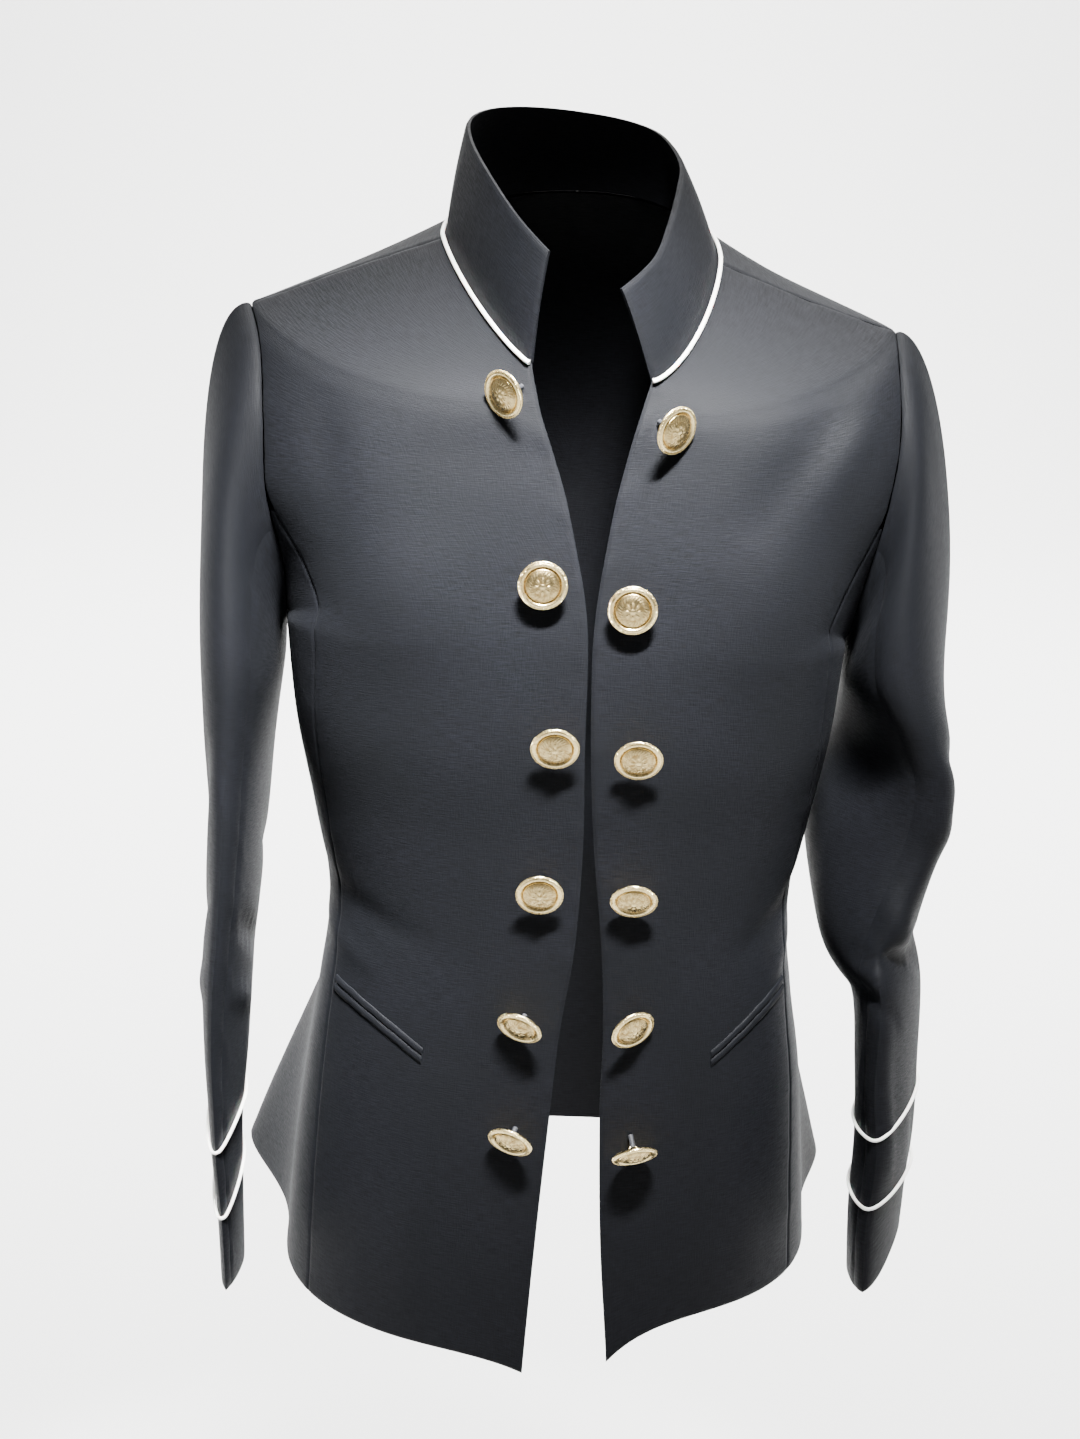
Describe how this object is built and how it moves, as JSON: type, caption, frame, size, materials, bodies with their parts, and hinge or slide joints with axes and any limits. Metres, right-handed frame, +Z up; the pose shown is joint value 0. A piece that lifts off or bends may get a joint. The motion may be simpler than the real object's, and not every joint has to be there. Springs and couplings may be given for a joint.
{
  "type": "military-style blazer",
  "caption": "Worn, open military-style blazer with a stand collar, white piping, two rows of shank buttons, slanted welt pockets and hanging empty sleeves.",
  "frame": {"origin": "midway between the wearer's shoulders, level with the side of the neck, where the wearer's shoulders hold the garment up", "axes": "+Z up; the wearer faces -Y; +X is to the wearer's left"},
  "size_m": [0.435, 0.2589, 0.7207],
  "materials": {
    "navy_cloth": "near-black navy suiting with a fine slub and a slight sheen",
    "white_piping": "white corded satin piping",
    "gold_metal": "pale gold plated metal, polished"
  },
  "bodies": {
    "root": {"front_right_lower": "navy_cloth", "front_right_middle": "navy_cloth", "front_right_upper": "navy_cloth", "front_left_lower": "navy_cloth", "front_left_middle": "navy_cloth", "front_left_upper": "navy_cloth", "side_front_right": "navy_cloth", "side_front_left": "navy_cloth", "side_back_right": "navy_cloth", "side_back_left": "navy_cloth", "back_right": "navy_cloth", "back_left": "navy_cloth", "collar": "navy_cloth", "upper_sleeve_right": "navy_cloth", "upper_sleeve_left": "navy_cloth", "under_sleeve_right": "navy_cloth", "under_sleeve_left": "navy_cloth", "neck_piping": "white_piping", "cuff_piping_right_1": "white_piping", "cuff_piping_right_2": "white_piping", "cuff_piping_left_1": "white_piping", "cuff_piping_left_2": "white_piping", "pocket_welt_right_upper": "navy_cloth", "pocket_welt_right_lower": "navy_cloth", "pocket_welt_left_upper": "navy_cloth", "pocket_welt_left_lower": "navy_cloth", "button_right_1": "gold_metal", "button_right_2": "gold_metal", "button_right_3": "gold_metal", "button_right_4": "gold_metal", "button_right_5": "gold_metal", "button_right_6": "gold_metal", "button_left_1": "gold_metal", "button_left_2": "gold_metal", "button_left_3": "gold_metal", "button_left_4": "gold_metal", "button_left_5": "gold_metal", "button_left_6": "gold_metal"}
  },
  "joints": []
}
